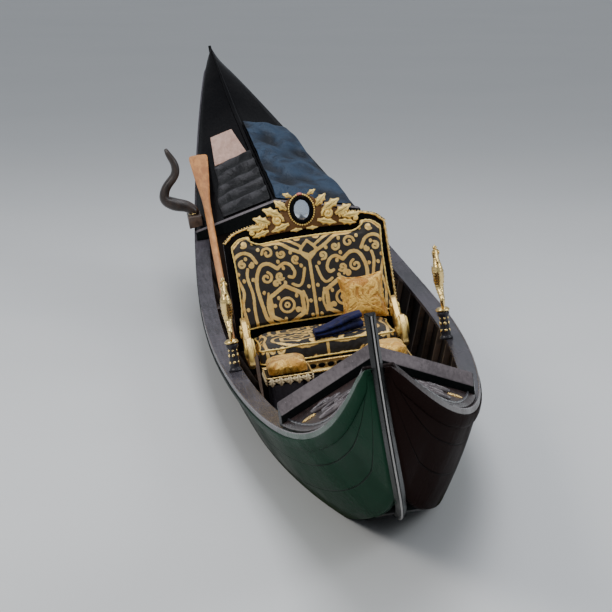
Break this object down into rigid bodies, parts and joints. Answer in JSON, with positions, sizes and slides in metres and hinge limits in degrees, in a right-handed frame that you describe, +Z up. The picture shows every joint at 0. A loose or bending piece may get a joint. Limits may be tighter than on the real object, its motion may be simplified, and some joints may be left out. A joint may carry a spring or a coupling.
{
  "type": "gondola boat",
  "caption": "Narrow flat-bottomed rowing boat, afloat and heeled a little, with gabled end decks, a gilded sofa, stools, a lift-out oarlock, an oar and two locker doors.",
  "frame": {"origin": "on the water's surface at half length, under the line from bow head to stern tip", "axes": "+X towards the bow, +Y towards the port side, +Z up from the water"},
  "size_m": [10.8382, 1.4999, 1.8898],
  "materials": {
    "black_lacquer": "glossy black boat lacquer on wood",
    "dark_wood": "dark varnished walnut",
    "bare_wood": "worn varnished larch boards",
    "oar_wood": "varnished orange-tan ramin wood",
    "iron": "dull polished strip",
    "brass": "polished cast brass",
    "gilt": "gilded carved wood",
    "damask": "black and gold scrolled damask",
    "gold_cloth": "gold satin",
    "blue_cloth": "deep blue cotton",
    "tarp_cloth": "blue-grey waterproof cloth",
    "dark_cloth": "dark grey cover",
    "mirror_glass": "small silvered oval"
  },
  "bodies": {
    "hull": {"side_planks_port_fore": "black_lacquer", "side_planks_port_aft": "black_lacquer", "rail_port_fore": "black_lacquer", "rail_port_aft": "black_lacquer", "sheer_moulding_port": "black_lacquer", "side_planks_starboard_fore": "black_lacquer", "side_planks_starboard_aft": "black_lacquer", "rail_starboard_fore": "black_lacquer", "rail_starboard_aft": "black_lacquer", "sheer_moulding_starboard": "black_lacquer", "stem_post": "black_lacquer", "stern_post": "black_lacquer", "foredeck_port": "black_lacquer", "foredeck_starboard": "black_lacquer", "foredeck_ridge": "black_lacquer", "aftdeck_port": "black_lacquer", "aftdeck_starboard": "black_lacquer", "aftdeck_ridge": "black_lacquer", "foredeck_coaming": "black_lacquer", "aftdeck_coaming": "black_lacquer", "sofa_base": "black_lacquer", "sofa_back": "black_lacquer", "stool_starboard": "black_lacquer", "stool_port": "black_lacquer", "pedestal_port": "black_lacquer", "pedestal_starboard": "black_lacquer", "bottom_planks_fore": "dark_wood", "bottom_planks_aft": "dark_wood", "fore_bulkhead": "dark_wood", "aft_bulkhead": "dark_wood", "fore_thwart": "dark_wood", "aft_thwart": "dark_wood", "oarlock_block": "dark_wood", "floor_frames": "bare_wood", "floorboards_fore": "bare_wood", "floorboards_middle": "bare_wood", "floorboards_aft": "bare_wood", "oar": "oar_wood", "stem_strip": "iron", "stern_strip": "iron", "seahorse_port": "brass", "seahorse_starboard": "brass", "sofa_crest": "gilt", "sofa_arm_port": "gilt", "sofa_arm_starboard": "gilt", "seat_cushion": "damask", "back_cushion": "damask", "gold_pillow": "gold_cloth", "stool_cushion_starboard": "gold_cloth", "stool_cushion_port": "gold_cloth", "blue_cloth": "blue_cloth", "blue_tarp": "tarp_cloth", "dark_cover": "dark_cloth", "crest_mirror": "mirror_glass"},
    "fore_door": {"fore_door": "dark_wood"},
    "aft_door": {"aft_door": "dark_wood"},
    "oarlock": {"oarlock": "dark_wood"}
  },
  "joints": [
    {"name": "fore_door_hinge", "type": "hinge", "parent": "hull", "child": "fore_door", "pos_m": [3.228, 0.2453, 0.35818], "axis": [0, 0.1392, -0.9903], "range_deg": [0, 95]},
    {"name": "aft_door_hinge", "type": "hinge", "parent": "hull", "child": "aft_door", "pos_m": [-2.532, 0.23145, 0.39333], "axis": [0, -0.1392, 0.9903], "range_deg": [0, 95]},
    {"name": "oarlock_lift", "type": "slide", "parent": "hull", "child": "oarlock", "axis": [0, -0.1392, 0.9903], "range_m": [0, 0.1]}
  ]
}
